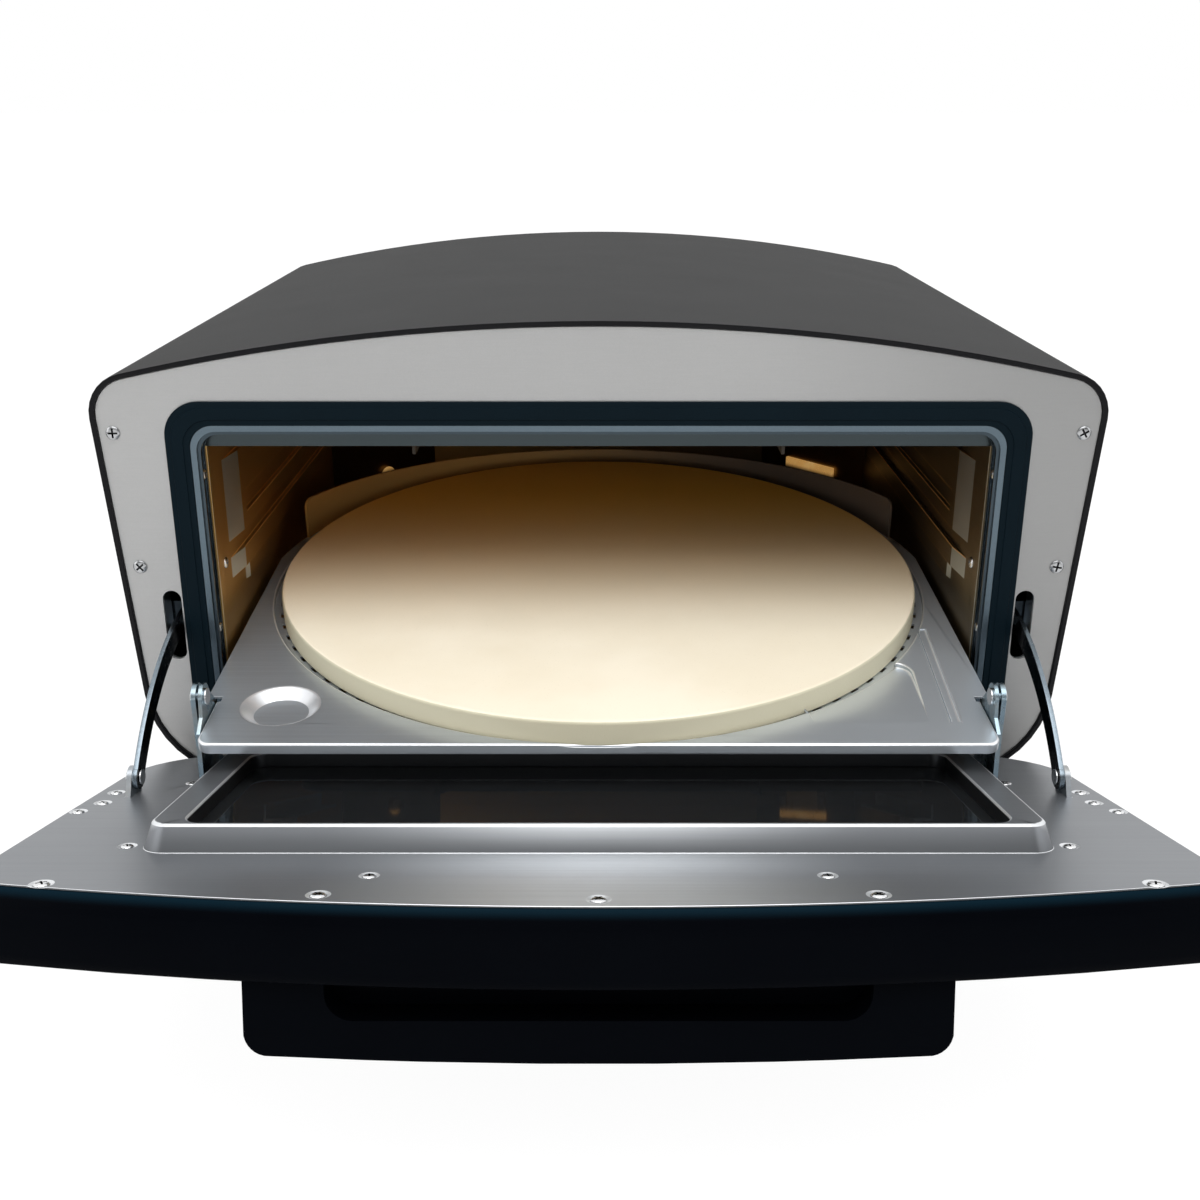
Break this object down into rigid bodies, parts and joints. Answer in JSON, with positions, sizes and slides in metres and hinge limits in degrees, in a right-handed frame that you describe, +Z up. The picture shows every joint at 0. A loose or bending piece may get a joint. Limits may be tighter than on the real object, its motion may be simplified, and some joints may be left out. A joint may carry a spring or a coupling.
{
  "type": "countertop pizza oven",
  "caption": "Arched countertop electric pizza oven; its drop-down window door swings on a bottom hinge and draws out a sloping tray that carries a round baking stone.",
  "frame": {"origin": "middle of the footprint at rest, with the door open, on the table", "axes": "+X to the right seen from the front, +Y to the back, +Z up"},
  "size_m": [0.4206, 0.584, 0.281],
  "materials": {
    "shell_paint": "matte charcoal powder coat",
    "satin_steel": "satin",
    "black_rubber": "satin",
    "rim_steel": "satin, light blue-grey",
    "cavity_steel": "satin, heat tinted",
    "wool": "matte mineral wool",
    "matte_black": "matte",
    "gloss_black": "gloss",
    "galvanised": "zinc plated",
    "element": "oxidised",
    "white_ceramic": "unglazed",
    "lamp_brass": "satin, lit by the lamp",
    "warm_glass": "frosted",
    "orange_lens": "clear lens",
    "bright_metal": "bright",
    "door_steel": "satin",
    "dark_glass": "clear, dark",
    "zinc": "blue zinc plated",
    "dark_steel": "blued",
    "baking_stone": "fine matt"
  },
  "bodies": {
    "casing": {"outer_shell": "shell_paint", "front_plate": "satin_steel", "door_gasket": "black_rubber", "cavity_rim": "rim_steel", "oven_cavity": "cavity_steel", "corner_panels": "cavity_steel", "insulation_blanket": "wool", "back_panel": "shell_paint", "base_plinth": "matte_black", "base_pan": "galvanised", "control_fascia": "gloss_black", "rubber_feet": "black_rubber", "upper_heaters": "element", "lower_heaters": "element", "heater_terminals": "white_ceramic", "heater_brackets": "galvanised", "lamp_frame": "lamp_brass", "lamp_lens": "warm_glass", "lamp_bulb": "warm_glass", "temperature_sensor": "lamp_brass", "tray_ledges": "galvanised", "thermostat_body": "white_ceramic", "timer_body": "galvanised", "switch_bodies": "matte_black", "indicator_lens": "orange_lens", "cord_gland": "matte_black", "plate_screws": "bright_metal", "cavity_screws": "bright_metal", "panel_screws": "bright_metal", "hinge_brackets": "galvanised", "stay_guides": "galvanised"},
    "door": {"door_shell": "gloss_black", "door_lining": "door_steel", "door_inner_glass": "dark_glass", "door_outer_glass": "dark_glass", "glass_clips": "galvanised", "door_handle": "gloss_black", "handle_screws": "bright_metal", "hinge_lugs": "galvanised", "hinge_pins": "bright_metal", "drive_arm_left": "zinc", "drive_arm_right": "zinc", "stay_lugs": "galvanised", "stay_pins": "bright_metal", "door_screws": "bright_metal"},
    "tray": {"stone_tray": "door_steel", "rear_guard": "cavity_steel", "tray_brackets": "zinc", "tray_pins": "bright_metal", "tray_runners": "galvanised"},
    "stone": {"pizza_stone": "baking_stone"},
    "stay_left": {"stay_arm_left": "dark_steel"},
    "stay_right": {"stay_arm_right": "dark_steel"},
    "temperature_control": {"temperature_knob": "matte_black", "temperature_shaft": "bright_metal"},
    "timer_control": {"timer_knob": "matte_black", "timer_shaft": "bright_metal"},
    "power_key": {"power_button": "matte_black"},
    "light_key": {"light_button": "matte_black"}
  },
  "joints": [
    {"name": "door_hinge", "type": "hinge", "parent": "casing", "child": "door", "pos_m": [0, -0.09613, 0.0837], "axis": [-1, 0, 0], "range_deg": [0, 77]},
    {"name": "tray_pivot", "type": "hinge", "parent": "door", "child": "tray", "pos_m": [0, -0.13971, 0.13848], "axis": [-1, 0, 0], "range_deg": [-77, 0]},
    {"name": "stone_lift", "type": "slide", "parent": "tray", "child": "stone", "axis": [0, -0.0859, 0.9963], "range_m": [0, 0.02]},
    {"name": "stay_left_pivot", "type": "hinge", "parent": "door", "child": "stay_left", "pos_m": [-0.186, -0.15517, 0.11026], "axis": [-1, 0, 0], "range_deg": [-46.2, 0]},
    {"name": "stay_right_pivot", "type": "hinge", "parent": "door", "child": "stay_right", "pos_m": [0.186, -0.15517, 0.11026], "axis": [-1, 0, 0], "range_deg": [-46.2, 0]},
    {"name": "temperature_turn", "type": "hinge", "parent": "casing", "child": "temperature_control", "pos_m": [-0.095, -0.09803, 0.043], "axis": [0, 1, 0], "range_deg": [0, 270]},
    {"name": "timer_turn", "type": "hinge", "parent": "casing", "child": "timer_control", "pos_m": [0.095, -0.09803, 0.043], "axis": [0, 1, 0], "range_deg": [0, 300]},
    {"name": "power_press", "type": "slide", "parent": "casing", "child": "power_key", "axis": [0, 1, 0], "range_m": [0, 0.002], "stiffness_N_per_m": 300, "springref_m": -0.001},
    {"name": "light_press", "type": "slide", "parent": "casing", "child": "light_key", "axis": [0, 1, 0], "range_m": [0, 0.002], "stiffness_N_per_m": 300, "springref_m": -0.001}
  ],
  "couplings": [
    {"joint": "tray_pivot", "follows": "door_hinge", "ratio": -1},
    {"joint": "stay_left_pivot", "follows": "door_hinge", "ratio": -0.6},
    {"joint": "stay_right_pivot", "follows": "door_hinge", "ratio": -0.6}
  ]
}
